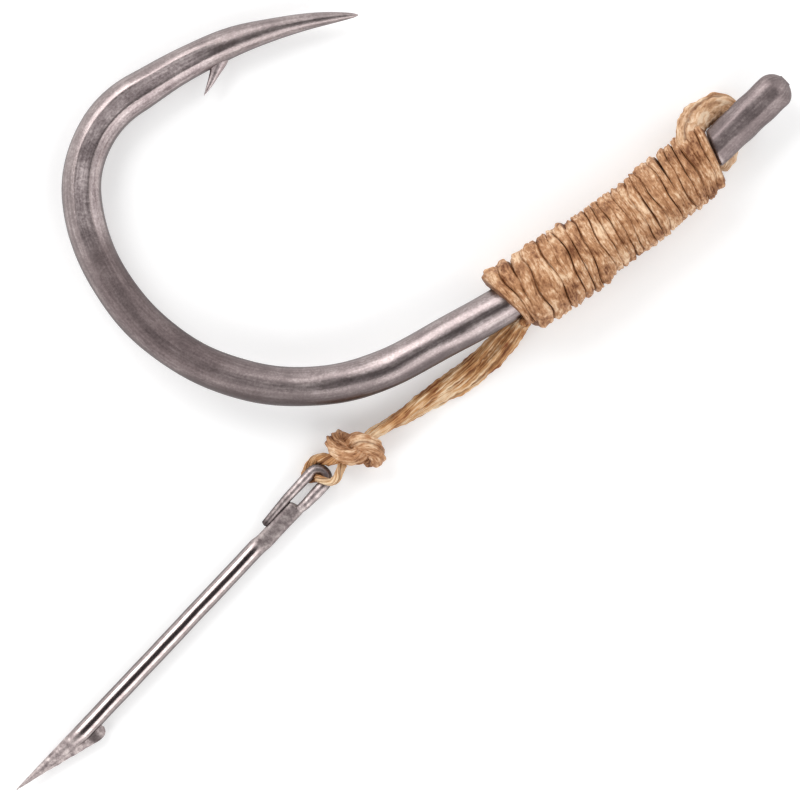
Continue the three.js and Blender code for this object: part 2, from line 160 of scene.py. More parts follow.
def smooth_line(points, step):
    """Centripetal Catmull-Rom line, mm: its knots are spaced by the square root of each chord. It
    is read off at even steps."""
    points = np.asarray(points, float)
    ends = 2 * points[[0, -1]] - points[[1, -2]]
    p = np.vstack([ends[:1], points, ends[1:]])
    knots = np.concatenate([[0], np.cumsum(np.sqrt(np.linalg.norm(np.diff(p, axis=0), axis=1)))])
    fine = []
    for i in range(1, len(p) - 2):
        t = np.linspace(knots[i], knots[i + 1], points_per_span, endpoint=False)[:, None]
        t0, t1, t2, t3 = knots[i - 1:i + 3]
        a1 = (t1 - t) / (t1 - t0) * p[i - 1] + (t - t0) / (t1 - t0) * p[i]
        a2 = (t2 - t) / (t2 - t1) * p[i] + (t - t1) / (t2 - t1) * p[i + 1]
        a3 = (t3 - t) / (t3 - t2) * p[i + 1] + (t - t2) / (t3 - t2) * p[i + 2]
        b1 = (t2 - t) / (t2 - t0) * a1 + (t - t0) / (t2 - t0) * a2
        b2 = (t3 - t) / (t3 - t1) * a2 + (t - t1) / (t3 - t1) * a3
        fine.append((t2 - t) / (t2 - t1) * b1 + (t - t1) / (t2 - t1) * b2)
    fine.append(points[-1:])
    return even_line(np.vstack(fine), step)


def lengths_along(line):
    """Distance from the start of a line to each of its points."""
    return np.concatenate([[0], np.cumsum(np.linalg.norm(np.diff(line, axis=0), axis=1))])


def even_line(line, step):
    """The same line, read off at even steps of about this size."""
    along = lengths_along(line)
    count = max(2, round(along[-1] / step) + 1)
    even = np.linspace(0, along[-1], count)
    return np.column_stack([np.interp(even, along, line[:, axis]) for axis in range(3)])


# %% [markdown]
# A few small tools come back in every shape: a smooth step from 0 to 1, even angles round a
# ring, and directions. A cord also needs a side direction that doesn't spin about it. A frame
# worked out from the curvature flips where a line bends the other way, so it is carried along.

# %% Steps, angles and directions


def smooth_step(value, low, high):
    """0 below low, 1 above high, 3 t^2 - 2 t^3 between."""
    t = np.clip((value - low) / (high - low), 0, 1)
    return t * t * (3 - 2 * t)


def between(value, start, full, fading, gone):
    """0 up to start, 1 from full to fading and 0 again from gone on, with smooth steps."""
    return smooth_step(value, start, full) * (1 - smooth_step(value, fading, gone))


def round_angles(count):
    """Even angles round a ring, from 0."""
    return np.linspace(0, 2 * math.pi, count, endpoint=False)


def signed_power(values, power):
    """Values raised to a power, with their signs kept."""
    return np.sign(values) * np.abs(values) ** power


def unit(vectors):
    """Vectors scaled to length 1."""
    return vectors / np.linalg.norm(vectors, axis=-1, keepdims=True)


def directions(line):
    """The direction of a line at each of its points, length 1."""
    return unit(np.gradient(line, axis=0))


def carried_sides(line, first_side):
    """A side direction carried along the line without twist: at each station, what leans along
    the line is taken off it."""
    sides = np.empty_like(line)
    side = np.asarray(first_side, float)
    for i, tangent in enumerate(directions(line)):
        side = side - tangent * (side @ tangent)
        side = side / np.linalg.norm(side)
        sides[i] = side
    return sides


# %% [markdown]
# ## Surfaces from rings
#
# Everything here is a tube of some kind: rings of points carried along a line. One function
# turns rings into a closed mesh, with a map whose first number runs along the tube in
# centimetres and whose second goes once round it.

# %% Tubes to mesh
map_scale = 0.1


def closed_tubes(name, tubes, body, finish, marks=None):
    """One mesh from tubes. A tube is (rings, along): rings[i, j] is a point, mm, and each ring runs
    counter-clockwise seen from the next one. Both ends are closed with a fan about their middle.
    The body is the name of one, which the piece is attached to; anything else leaves it unattached,
    with its place baked into the mesh."""
    points, corners, sizes, maps = [], [], [], []
    offset = 0
    for rings, along in tubes:
        stations, sides = rings.shape[:2]
        index = np.arange(stations * sides).reshape(stations, sides) + offset
        start, end = stations * sides + offset, stations * sides + offset + 1
        after = np.roll(index, -1, axis=1)
        quads = np.stack([index[:-1], after[:-1], after[1:], index[1:]], axis=-1).reshape(-1, 4)
        fans = np.vstack([
            np.stack([np.full(sides, start), after[0], index[0]], axis=-1),
            np.stack([np.full(sides, end), index[-1], after[-1]], axis=-1),
        ])
        round_now = np.arange(sides) / sides
        round_next = round_now + 1 / sides
        u0 = np.repeat(along[:-1, None], sides, axis=1)
        u1 = np.repeat(along[1:, None], sides, axis=1)
        v0 = np.repeat(round_now[None], stations - 1, axis=0)
        v1 = np.repeat(round_next[None], stations - 1, axis=0)
        quad_map = np.stack([u0, v0, u0, v1, u1, v1, u1, v0], axis=-1).reshape(-1, 2)
        fan_map = np.vstack([
            np.stack([np.full(3 * sides, u), np.repeat(round_now, 3)], axis=-1)
            for u in (along[0], along[-1])
        ])
        points += [rings.reshape(-1, 3), rings[[0, -1]].mean(axis=1)]
        corners += [quads.ravel(), fans.ravel()]
        sizes += [np.full(len(quads), 4), np.full(len(fans), 3)]
        maps += [quad_map, fan_map]
        offset += stations * sides + 2
    points, corners = np.vstack(points), np.concatenate(corners)
    sizes, maps = np.concatenate(sizes), np.vstack(maps) * (map_scale, 1)
    mesh = bpy.data.meshes.new(name)
    mesh.vertices.add(len(points))
    mesh.vertices.foreach_set("co", (points / 1000).astype(np.float32).ravel())
    mesh.loops.add(len(corners))
    mesh.loops.foreach_set("vertex_index", corners.astype(np.int32))
    mesh.polygons.add(len(sizes))
    starts = np.concatenate([[0], np.cumsum(sizes)[:-1]])
    mesh.polygons.foreach_set("loop_start", starts.astype(np.int32))
    mapped = mesh.uv_layers.new(name="along_and_round")
    mapped.data.foreach_set("uv", maps.astype(np.float32).ravel())
    mesh.update(calc_edges=True)
    mesh.shade_smooth()
    for mark, values in (marks or {}).items():
        attribute = mesh.attributes.new(mark, "FLOAT", "POINT")
        attribute.data.foreach_set("value", values.astype(np.float32))
    mesh.materials.append(finish)
    piece = bpy.data.objects.new(name, mesh)
    bpy.context.collection.objects.link(piece)
    if isinstance(body, str):
        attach(piece, body)
    else:
        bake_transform(piece)
    triangles = int((sizes - 2).sum())
    low, high = points.min(axis=0), points.max(axis=0)
    print(f"{name}: {triangles} triangles, from {np.round(low, 2)} to {np.round(high, 2)} mm")
    return piece


# %% [markdown]
# ## Finishes
#
# The bar is plain carbon steel, forged hot and brushed: grey with a faint warm tint, a thin
# uneven oxide, and a satin rather than a mirror face. The needle is drawn steel wire, so its
# round part is bright. The cord is hand-twisted plant fibre, tan in the winding and more
# golden where it runs free.

# %% Colours and nodes


def to_linear(code):
    """An sRGB hex colour as linear red, green, blue and 1: a channel below 0.04045 over 12.92,
    else its power of 2.4."""
    channels = np.array([int(code[i:i + 2], 16) for i in (1, 3, 5)]) / 255
    linear = np.where(channels <= 0.04045, channels / 12.92, ((channels + 0.055) / 1.055) ** 2.4)
    return (*linear, 1.0)


def add(tree, kind, inputs=None, steps=(), **settings):
    """A node with its settings. An input is a value, or another node's socket to link from. Steps
    are a colour ramp's (place, hex colour)."""
    node = tree.nodes.new(kind)
    for name, value in settings.items():
        setattr(node, name, value)
    for socket, value in (inputs or {}).items():
        if isinstance(value, bpy.types.NodeSocket):
            tree.links.new(value, node.inputs[socket])
        else:
            node.inputs[socket].default_value = value
    if steps:
        elements = node.color_ramp.elements
        while len(elements) < len(steps):
            elements.new(0.5)
        for element, (place, code) in zip(elements, steps):
            element.position = place
            element.color = to_linear(code)
    return node


def new_finish(name):
    """An empty material with its principled shader."""
    finish = bpy.data.materials.new(name)
    finish.use_nodes = True
    tree = finish.node_tree
    shader = tree.nodes["Principled BSDF"]
    print("finish:", name)
    return finish, tree, shader


# %% [markdown]
# Forged carbon steel, brushed: three patterns make its tone. Oxide lies in blotches of about
# 4 mm, the scale leaves a grain of about 0.4 mm, and drawing the bar out leaves faint lines
# along it. Object coordinates are metres, so a noise of scale 260 has one blotch in 3.8 mm.
# A picture wrapped round the bar would smear at the point, which noise doesn't.
#
# Marks on the mesh say where the steel differs: patina where the oxide stayed thick, ground where
# hammer and file left it bright, and a third mark paints shade on the sides, where the steel
# mirrors the shaded table.

# %% Forged steel
blotch_scale = 260
grain_scale = 2600
drawing_lines = (1.2, 46, 1)
clean_steps = ((0.34, "#796e6e"), (0.5, "#968a89"), (0.64, "#bdb1af"))
oxide_steps = ((0.36, "#554b4b"), (0.5, "#6d6161"), (0.66, "#8b7f7e"))
ground_steps = ((0.4, "#857879"), (0.5, "#a79a9a"), (0.6, "#cabebd"))
# painted shade: a dark steel colour for the bar's edges, standing in for the shaded table they
# mirror
steel_shade_colour = "#4f4545"
least_rough, most_rough = 0.24, 0.42
patina_rough, ground_rough = 0.2, 0.09


def forged_steel():
    """Half blotches and half grain, with three tenths of lines over them, are one tone. It picks
    the colours and sets the roughness, and the marks change both."""
    finish, tree, shader = new_finish("forged_carbon_steel")
    place = add(tree, "ShaderNodeTexCoord").outputs["Object"]
    blotches = add(tree, "ShaderNodeTexNoise", {
        "Vector": place, "Scale": blotch_scale, "Detail": 5, "Roughness": 0.62,
    }).outputs["Fac"]
    grain = add(tree, "ShaderNodeTexNoise", {
        "Vector": place, "Scale": grain_scale, "Detail": 4, "Roughness": 0.65,
    }).outputs["Fac"]
    along = add(tree, "ShaderNodeUVMap", uv_map="along_and_round").outputs["UV"]
    drawn = add(tree, "ShaderNodeMapping", {"Vector": along, "Scale": drawing_lines}).outputs[0]
    lines = add(tree, "ShaderNodeTexNoise", {"Vector": drawn, "Scale": 1.0, "Detail": 3})
    patina, ground, painted_shade = (
        add(tree, "ShaderNodeAttribute", attribute_name=mark).outputs["Fac"]
        for mark in ("patina", "ground", "painted_shade")
    )
    speckle = add(tree, "ShaderNodeMix", {0: 0.5, 2: blotches, 3: grain}).outputs[0]
    tone = add(tree, "ShaderNodeMix", {0: 0.3, 2: speckle, 3: lines.outputs["Fac"]}).outputs[0]
    colour, oxide, bright = (
        add(tree, "ShaderNodeValToRGB", {"Fac": tone}, steps=steps).outputs["Color"]
        for steps in (clean_steps, oxide_steps, ground_steps)
    )
    # The third mark paints shade over the colour at the bar's edges.
    for mark, over in ((patina, oxide), (ground, bright), (painted_shade, to_linear(steel_shade_colour))):
        mixed = add(tree, "ShaderNodeMix", {0: mark, 6: colour, 7: over}, data_type="RGBA")
        colour = mixed.outputs[2]
    rough = add(tree, "ShaderNodeMapRange", {
        0: tone, 1: 0.3, 2: 0.7, 3: least_rough, 4: most_rough,
    }).outputs[0]
    for mark, more in ((patina, patina_rough), (ground, ground_rough)):
        raised = add(tree, "ShaderNodeMath", {0: mark, 1: more, 2: rough}, operation="MULTIPLY_ADD")
        rough = raised.outputs[0]
    dents = add(tree, "ShaderNodeBump", {"Height": blotches, "Distance": 0.00012, "Strength": 0.5})
    pits = add(tree, "ShaderNodeBump", {
        "Height": grain, "Distance": 0.00005, "Strength": 0.7, "Normal": dents.outputs["Normal"],
    })
    tree.links.new(colour, shader.inputs["Base Color"])
    tree.links.new(rough, shader.inputs["Roughness"])
    tree.links.new(pits.outputs["Normal"], shader.inputs["Normal"])
    shader.inputs["Metallic"].default_value = 1.0
    return finish


hook_finish = forged_steel()

# %% [markdown]
# Drawn steel wire: bright and smooth along the round shank. The mark "hammered" is 1 on the
# blade, the flat and the eye, where hammer and file left a dull face with dents of about 1 mm.
# Two materials would meet at a hard line. One material with a mark lets the looks run together.

# %% Drawn steel wire
dent_scale = 1000
bright_steps = ((0.35, "#978b8a"), (0.65, "#b5a9a7"))
dull_steps = ((0.36, "#7d7272"), (0.5, "#a69a99"), (0.64, "#cabfbc"))
# painted shade: a dark wire colour for the needle's edges, its hollows and round its eye
wire_shade_colour = "#3f3636"
bright_rough, dull_rough = 0.19, 0.58
bright_dents, dull_dents = 0.06, 0.4


def drawn_wire():
    """The mark mixes bright wire with dull wire: their colours, roughness and depth of dents."""
    finish, tree, shader = new_finish("drawn_steel_wire")
    place = add(tree, "ShaderNodeTexCoord").outputs["Object"]
    dents = add(tree, "ShaderNodeTexNoise", {
        "Vector": place, "Scale": dent_scale, "Detail": 4, "Roughness": 0.7,
    }).outputs["Fac"]
    hammered, painted_shade = (
        add(tree, "ShaderNodeAttribute", attribute_name=mark).outputs["Fac"]
        for mark in ("hammered", "painted_shade")
    )
    colour, dull = (
        add(tree, "ShaderNodeValToRGB", {"Fac": dents}, steps=steps).outputs["Color"]
        for steps in (bright_steps, dull_steps)
    )
    # The second mark paints shade over the colour.
    for mark, over in ((hammered, dull), (painted_shade, to_linear(wire_shade_colour))):
        mixed = add(tree, "ShaderNodeMix", {0: mark, 6: colour, 7: over}, data_type="RGBA")
        colour = mixed.outputs[2]
    rough = add(tree, "ShaderNodeMapRange", {0: hammered, 3: bright_rough, 4: dull_rough})
    strength = add(tree, "ShaderNodeMapRange", {0: hammered, 3: bright_dents, 4: dull_dents})
    bump = add(tree, "ShaderNodeBump", {
        "Height": dents, "Distance": 0.00012, "Strength": strength.outputs[0],
    })
    tree.links.new(colour, shader.inputs["Base Color"])
    tree.links.new(rough.outputs[0], shader.inputs["Roughness"])
    tree.links.new(bump.outputs["Normal"], shader.inputs["Normal"])
    shader.inputs["Metallic"].default_value = 1.0
    return finish


needle_finish = drawn_wire()

# %% [markdown]
# Twisted plant fibre: long flat fibres lie nearly along each ply, so the pattern is a noise
# that is stretched along it, three times in the scuffed winding and fourteen times in the free
# leader. Real fibres are 0.02 to 0.05 mm, too fine to show at this size, so they are drawn as
# bundles of 0.3 to 0.4 mm. Dirt and wax gather in brown patches of about 4 mm, scuffs are crumbs
# of under 1 mm, and a mark paints shade into the gaps between strands.

# %% Twisted plant fibre
stain_scale = 270
crumb_scale = 1300
stain_share = 0.4
fibre_slant = 0.1
tone_places = (0.39, 0.5, 0.6)
# painted shade: the dark brown for the gaps between strands and plies
crevice_shade_colour = "#5a2c0b"


def plant_fibre(name, colours, broken, stretch):
    """Bundles of fibre, a share of them broken into crumbs, with stains over both, are one tone.
    It picks a colour from dark over middle to light."""
    finish, tree, shader = new_finish(name)
    along = add(tree, "ShaderNodeUVMap", uv_map="along_and_round").outputs["UV"]
    place = add(tree, "ShaderNodeTexCoord").outputs["Object"]
    stretched = add(tree, "ShaderNodeMapping", {
        "Vector": along, "Scale": stretch, "Rotation": (0, 0, fibre_slant),
    })
    bundles = add(tree, "ShaderNodeTexNoise", {
        "Vector": stretched.outputs[0], "Scale": 1.0, "Detail": 4, "Roughness": 0.6,
        "Distortion": 0.4,
    }).outputs["Fac"]
    stains = add(tree, "ShaderNodeTexNoise", {
        "Vector": place, "Scale": stain_scale, "Detail": 3,
    }).outputs["Fac"]
    crumbs = add(tree, "ShaderNodeTexNoise", {
        "Vector": place, "Scale": crumb_scale, "Detail": 3, "Roughness": 0.7,
    }).outputs["Fac"]
    fibres = add(tree, "ShaderNodeMix", {0: broken, 2: bundles, 3: crumbs}).outputs[0]
    tone = add(tree, "ShaderNodeMix", {0: stain_share, 2: fibres, 3: stains}).outputs[0]
    steps = tuple(zip(tone_places, colours))
    colour = add(tree, "ShaderNodeValToRGB", {"Fac": tone}, steps=steps).outputs["Color"]
    # Painted shade in the gaps, from the mark on the mesh
    crevice_shade = add(tree, "ShaderNodeAttribute", attribute_name="crevice_shade").outputs["Fac"]
    shaded = add(tree, "ShaderNodeMix", {
        0: crevice_shade, 6: colour, 7: to_linear(crevice_shade_colour),
    }, data_type="RGBA")
    bump = add(tree, "ShaderNodeBump", {"Height": fibres, "Distance": 0.0003, "Strength": 1.0})
    tree.links.new(shaded.outputs[2], shader.inputs["Base Color"])
    tree.links.new(bump.outputs["Normal"], shader.inputs["Normal"])
    shader.inputs["Roughness"].default_value = 0.58
    shader.inputs["Specular IOR Level"].default_value = 0.4
    return finish


winding_finish = plant_fibre(
    "tan_plant_fibre", ("#6c3a13", "#be8a60", "#f2d0ac"), broken=0.3, stretch=(9, 18, 1)
)
bight_finish = plant_fibre(
    "pale_plant_fibre", ("#94623a", "#d4a983", "#f6dabb"), broken=0.2, stretch=(6, 18, 1)
)
leader_finish = plant_fibre(
    "golden_plant_fibre", ("#84461c", "#d09a64", "#fbe0bc"), broken=0.08, stretch=(2.2, 20, 1)
)

# %% [markdown]
# ## Two-ply cord
#
# A cord is two plies twisted round each other. Each ply is an oval a sixth of the cord's
# width off its middle, and the pair turns once in a lay. Squeezing the section to the cord's
# own width and height makes it lie flat against its neighbours, as a tight winding does. A
# curve with a round bevel would be quicker, but it has no plies and can't lie flat.

# %% Rings of a cord
ring_points = 28
ply_offset = 0.17
ply_half_depth = 0.35
ply_half_width = 0.45
free_ridge_depth = 1.5
second_ply_shift = 37


def ridges(rim, along, ply, depth=1.0):
    """Bundles of fibre that stand up on a ply, five and eight round it, and drift along it: one
    plus waves of 0.07 and 0.05 times the depth."""
    first_drift = 0.5 * along + 1.4 * np.sin(0.31 * along)
    second_drift = 1.1 * np.sin(0.73 * along) - 0.4 * along
    first = 0.07 * np.sin(5 * rim[None] + first_drift[:, None] + 2 * ply)
    second = 0.05 * np.sin(8 * rim[None] + second_drift[:, None] + ply)
    return 1 + depth * (first + second)


def rounded_ends(along, reach=0.4, least=0.05):
    """Share of the full size at each station: the root of the way to the nearer end over the
    reach, so that both ends are round."""
    return np.clip(np.minimum(along, along[-1] - along) / reach, least, 1)[:, None] ** 0.5


def placed_round(line, sides, x, tops, y):
    """Rings about a line: each point lies x to the side and y to the top of its station."""
    return line[:, None] + sides[:, None] * x[..., None] + tops[:, None] * y[..., None]


def two_ply(line, sides, width, height, lay):
    """Two tubes. At distance s along, a ply's middle stands at the angle 2 pi s / lay off the side,
    and its rim is middle + 0.35 cos a outwards + 0.45 sin a round, times the cord's width and
    height. Each ply swells and thins by a few hundredths."""
    along = lengths_along(line)
    tops = unit(np.cross(directions(line), sides))
    width = np.broadcast_to(width, along.shape)[:, None]
    height = np.broadcast_to(height, along.shape)[:, None]
    ends = rounded_ends(along)
    rim = round_angles(ring_points)
    tubes = []
    for ply in (0, 1):
        turn = 2 * math.pi * along / lay + ply * math.pi
        swell = 1 + 0.05 * np.sin(along * 1.7 + 2.1 * ply) + 0.04 * np.sin(along * 4.3 + ply)
        size = ridges(rim, along, ply, free_ridge_depth) * swell[:, None]
        out = ply_offset + ply_half_depth * np.cos(rim)[None] * size
        around = ply_half_width * np.sin(rim)[None] * size
        x = out * np.cos(turn)[:, None] - around * np.sin(turn)[:, None]
        y = out * np.sin(turn)[:, None] + around * np.cos(turn)[:, None]
        rings = placed_round(line, sides, x * ends * width, tops, y * ends * height)
        tubes.append((rings, along + second_ply_shift * ply))
    return tubes


# %% [markdown]
# Rings are laid round a line, and its side direction decides how a flat cord lies. On
# the table the wide side stays level, and a tube that would go through the table is pressed
# flat against it. Where two strands touch, a mark darkens the gap with painted shade.

# %% Free cord
least_height = 0.02
upright_below = 0.15
ply_gap_shade = 0.6


def in_crevices(tubes, shape):
    """Marks what lies in a crevice: the shape gives it from the cosine of the angle round a ring.
    The middles of the two ends get none."""
    per_ring = shape(np.cos(round_angles(ring_points)))
    return np.concatenate([np.append(np.tile(per_ring, len(rings)), (0, 0)) for rings, _ in tubes])


def resting(tubes):
    """The same tubes, pressed flat where they would go through the table."""
    return [
        (np.concatenate([rings[..., :2], np.maximum(rings[..., 2:], least_height)], axis=-1), along)
        for rings, along in tubes
    ]


def level_sides(line, first_side):
    """A level side direction, square to the line, or the first side where the line is upright."""
    tangents = directions(line)
    sides = np.cross((0.0, 0.0, 1.0), tangents)
    upright = np.linalg.norm(sides, axis=1, keepdims=True) < upright_below
    sides = np.where(upright, np.array(first_side), sides)
    return unit(sides - tangents * (sides * tangents).sum(axis=1, keepdims=True))


def free_cord(name, route, body, finish, width, lay, nodes, level=None, flat=1.0, step=0.22):
    """A cord that lies free along a route, with its line and length. The width is one number, or
    several spread over its length. A level cord is flat, and its wide side stays level."""
    line = smooth_line(route, step)
    along = lengths_along(line)
    share = along / along[-1]
    size = np.interp(share, np.linspace(0, 1, len(width)), width) if np.ndim(width) else width
    sides = level_sides(line, level) if level else carried_sides(line, (0, 0, 1))
    tubes = resting(two_ply(line, sides, size, size * flat, lay))
    # Painted shade in the groove between the two plies
    between_plies = ply_gap_shade * in_crevices(tubes, lambda c: smooth_step(-c, 0.1, 0.5))
    piece = closed_tubes(name, tubes, body, finish, marks={"crevice_shade": between_plies})
    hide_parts(*nodes)
    print(f"{name}: {along[-1]:.1f} mm of cord")
    return piece, line, along[-1]


# %% [markdown]
# The free stretches and the winding are one cord on the real object, split here where its job
# changes. The two strands are handed the leader's and the knot's bodies and two points near their
# far end, in metres; they are attached to neither, and their place is baked into the mesh.

# %% Leader, knot and loop
leader_side = (0.63, -0.77, 0.0)
fold_from, fold_to = (-0.0017, -0.0040, 0.003), (-0.0057, -0.0063, 0.003)
at_fold = ("leader", "knot", fold_from, fold_to)
wound, wound_line, wound_length = free_cord(
    "leader_cord_wound", strand_wound_route, at_fold, leader_finish,
    width=[1.6, 2.3, 2.9, 2.7, 2.3, 2.1, 1.8], flat=0.8, lay=-110.0, level=leader_side,
    nodes=["leader_strand_wound"],
)
nipped, nipped_line, nipped_length = free_cord(
    "leader_cord_nipped", strand_nipped_route, at_fold, leader_finish,
    width=[1.6, 2.1, 2.6, 2.5, 2.2, 2.0, 1.8], flat=0.8, lay=-90.0, level=leader_side,
    nodes=["leader_strand_nipped"],
)
knot = free_cord(
    "overhand_knot", knot_route, "knot", winding_finish,
    width=2.75, lay=-17.0, nodes=["leader_knot"],
)[0]
loop = free_cord(
    "needle_loop", eye_loop_route, "knot", leader_finish,
    width=[1.5, 1.9, 1.8, 1.4, 1.1, 1.1, 1.1, 1.2, 1.3, 1.3], lay=-9.0, step=0.12,
    nodes=["eye_loop"],
)[0]

# %% [markdown]
# ## The bent bar
#
# The bar's middle line is made of straights and arcs, each turning to the right. It lies in a
# plane that leans 3.5 degrees, because the winding lifts the shank while the bend rests on
# the table.

# %% Middle line of the bar
bar_diameter = 6.4
bar_radius = bar_diameter / 2
head_end = (61.05, 51.25)
head_heading = math.radians(224)
# From the head: a straight is (length, None), an arc is (None, (radius, degrees))
bar_pieces = [
    (10.9, None), (None, (201.7, 15.2)), (11.3, None), (None, (35.4, 100.1)),
    (None, (25.3, 15.8)), (None, (17.8, 61.5)), (5.0, None), (None, (69.5, 27.5)),
]
hook_up = unit(np.array([-0.0193, 0.0579, 0.9981]))
hook_shift = np.array([-0.0058, 0.0173, 6.8768])


def bar_line(distance):
    """Place and heading at distances from the head end. An arc of radius r moves the point by
    r (sin h - sin h2) and -r (cos h - cos h2), where h2 is the heading less run / r."""
    distance = np.asarray(distance, float)
    x = np.full_like(distance, head_end[0])
    y = np.full_like(distance, head_end[1])
    heading = np.full_like(distance, head_heading)
    start = 0.0
    for straight, arc in bar_pieces:
        length = straight if arc is None else arc[0] * math.radians(arc[1])
        run = np.clip(distance - start, 0, length)
        if arc is None:
            x += run * np.cos(heading)
            y += run * np.sin(heading)
        else:
            new_heading = heading - run / arc[0]
            x += arc[0] * (np.sin(heading) - np.sin(new_heading))
            y -= arc[0] * (np.cos(heading) - np.cos(new_heading))
            heading = new_heading
        start += length
    return x, y, heading


bar_length = sum(s if a is None else a[0] * math.radians(a[1]) for s, a in bar_pieces)
print("bar, mm:", round(bar_length, 1))


def laid_down(points):
    """Points of the flat hook, moved onto the table: the least turn that takes up to hook_up."""
    axis = np.cross((0, 0, 1), hook_up)
    sine, cosine = np.linalg.norm(axis), hook_up[2]
    k = axis / sine
    points = np.asarray(points, float)
    turned_points = (
        points * cosine
        + np.cross(k, points) * sine
        + k * (points @ k)[..., None] * (1 - cosine)
    )
    return turned_points + hook_shift


def along_bar(distance, across, high):
    """Points at a distance along the bar, across to its left and high above its middle."""
    x, y, heading = bar_line(distance)
    left = np.stack([-np.sin(heading), np.cos(heading)], axis=-1)
    points = np.empty((*np.broadcast(distance, across, high).shape, 3))
    points[..., 0] = x + across * left[..., 0]
    points[..., 1] = y + across * left[..., 1]
    points[..., 2] = high
    return points


# %% [markdown]
# ## The bar's own shape
#
# The section is round, drawn out to a point over 38 mm, filed to a neck behind the head and
# hammered to eight flats on the head. The bend was hammered on its face while hot, which
# flattened its top a little and left the rim uneven by a few hundredths of a millimetre. One
# profile swept along the line would be simpler, but here the section changes all the way from
# a faceted head over a round shank to the point, so each ring is worked out on its own.

# %% Sizes of the bar
point_taper_length = 38.0
point_taper_power = 0.56
point_tip_diameter = 0.2
head_length = 15.7
head_width = 6.1
head_width_at_neck = 6.0
head_thickness = 4.9
head_dome, dome_from = 2.6, 0.15
head_facets, facet_corner = 0.5, 1.06
head_dents = 0.03
under_size = 0.008
neck_start, neck_end, shank_start = 16.4, 18.0, 19.0
neck_diameter = 4.2
shoulder_slant = 0.9
flat_from, flat_to = 124.0, 182.0
flat_rise, flat_fall = 16, 8
flat_height = 0.925
flat_crown = 0.1
back_swell_at, back_swell_reach, back_swell = 181.0, 6, 0.28

# %% Hook surface


def hook_surface(stations, sides):
    """Rings of the bar: a circle of the local radius, pulled in to eight flats on the head. Along
    the bend, what stands higher than flat_height radii keeps a tenth of its height above that."""
    d = stations[:, None]
    angle = round_angles(sides)[None]
    taper = np.clip((bar_length - d) / point_taper_length, 0, 1) ** point_taper_power
    radius = np.maximum(bar_radius * taper, point_tip_diameter / 2)
    neck_radius = neck_diameter / 2
    neck = neck_radius + (bar_radius - neck_radius) * smooth_step(d, neck_end, shank_start)
    radius = np.where(d < shank_start, neck, radius)
    to_flat = np.abs((angle + math.pi / 8) % (math.pi / 4) - math.pi / 8)
    octagon = 1 + head_facets * (np.minimum(1 / np.cos(to_flat), facet_corner) - 1)
    inside = np.clip(np.maximum(d, dome_from) / head_dome, 0, 1)
    dome = np.sqrt(1 - (1 - inside) ** 2)
    wide = head_width + (head_width_at_neck - head_width) * d / head_length
    slant = shoulder_slant * np.cos(angle)
    on_head = 1 - smooth_step(d, head_length + slant, neck_start + slant)
    half_wide = radius + (dome * wide / 2 * octagon - radius) * on_head
    half_thick = radius + (dome * head_thickness / 2 * octagon - radius) * on_head
    dented = np.sin(0.9 * d + 2 * angle) * np.sin(0.55 * d - 3 * angle + 1) * on_head
    uneven = 0.0096 * np.sin(d / 3.1 + 2 * angle) + 0.008 * np.sin(d / 1.9 - 3 * angle)
    skin = 1 - under_size + uneven + head_dents * dented
    swell = back_swell * np.exp(-(((d - back_swell_at) / back_swell_reach) ** 2))
    across = half_wide * skin * np.cos(angle) + swell * np.clip(np.cos(angle), 0, 1)
    above = np.clip(np.sin(angle) - flat_height, 0, 1) * (1 - flat_crown)
    flat = between(d, flat_from, flat_from + flat_rise, flat_to - flat_fall, flat_to)
    high = half_thick * skin * np.sin(angle) - flat * radius * above
    return laid_down(along_bar(np.broadcast_to(d, across.shape), across, high)), angle


# %% Rings of the hook
# Stations lie closer where the head and the point curve fast
hook_sides = 96
head_stations = np.concatenate([
    head_dome * np.linspace(0, 1, 14) ** 1.6,
    np.linspace(head_dome, head_length, 34)[1:],
    np.linspace(head_length, shank_start, 22)[1:],
])
shank_stations = np.linspace(shank_start, bar_length - point_taper_length, 300)[1:]
point_stations = bar_length - point_taper_length * (1 - np.linspace(0, 1, 90)[1:]) ** 1.4
hook_stations = np.concatenate([head_stations, shank_stations, point_stations])
hook_rings, hook_angle = hook_surface(hook_stations, hook_sides)
print("rings of the hook:", len(hook_stations))

# %% [markdown]
# The barb is a sliver chiselled up from the inner side of the point and bent away from the
# tip. It is a cone that thins by a power of its length. A boolean could join it to the bar, but
# a root that is buried in the bar looks the same and leaves both surfaces clean.

# %% Barb
barb_from_tip = 23.4
barb_length = 5.6
barb_lean = math.radians(45)
barb_half_width, barb_half_thickness, barb_tip = 1.25, 0.85, 0.06
barb_root_flare = 0.25
barb_bow = 0.25
barb_root = bar_length - barb_from_tip


def barb_surface(stations=40, sides=24):
    """Rings along the barb: half width 1.25 (1 - t)^0.8, half thickness 0.85 (1 - t)^0.8, with a
    root that flares by a quarter into the bar."""
    x, y, heading = bar_line(np.array([barb_root]))
    lean = heading[0] + math.pi + barb_lean
    away = np.array([math.cos(lean), math.sin(lean)])
    side = np.array([-away[1], away[0]])
    radius = bar_radius * (barb_from_tip / point_taper_length) ** point_taper_power
    left = np.array([-math.sin(heading[0]), math.cos(heading[0])])
    start = np.array([x[0], y[0]]) - left * radius / 2
    t = np.linspace(0, 1, stations)[:, None]
    angle = round_angles(sides)[None]
    size = (1 - t) ** 0.8 * (1 + barb_root_flare * (1 - smooth_step(t, 0.1, 0.5)))
    half_wide = np.maximum(barb_half_width * size, barb_tip)
    half_thick = np.maximum(barb_half_thickness * size, barb_tip)
    run = (barb_length + radius / 2) * t
    bow = barb_bow * np.sin(math.pi * t)
    middle = start + away * run[..., None] + side * bow[..., None]
    plan = middle + side * (half_wide * np.cos(angle))[..., None]
    high = half_thick * np.sin(angle)
    return laid_down(np.concatenate([plan, high[..., None]], axis=-1)), run[:, 0]


barb_rings, barb_along = barb_surface()
print("barb, mm:", round(float(barb_along[-1]), 1))
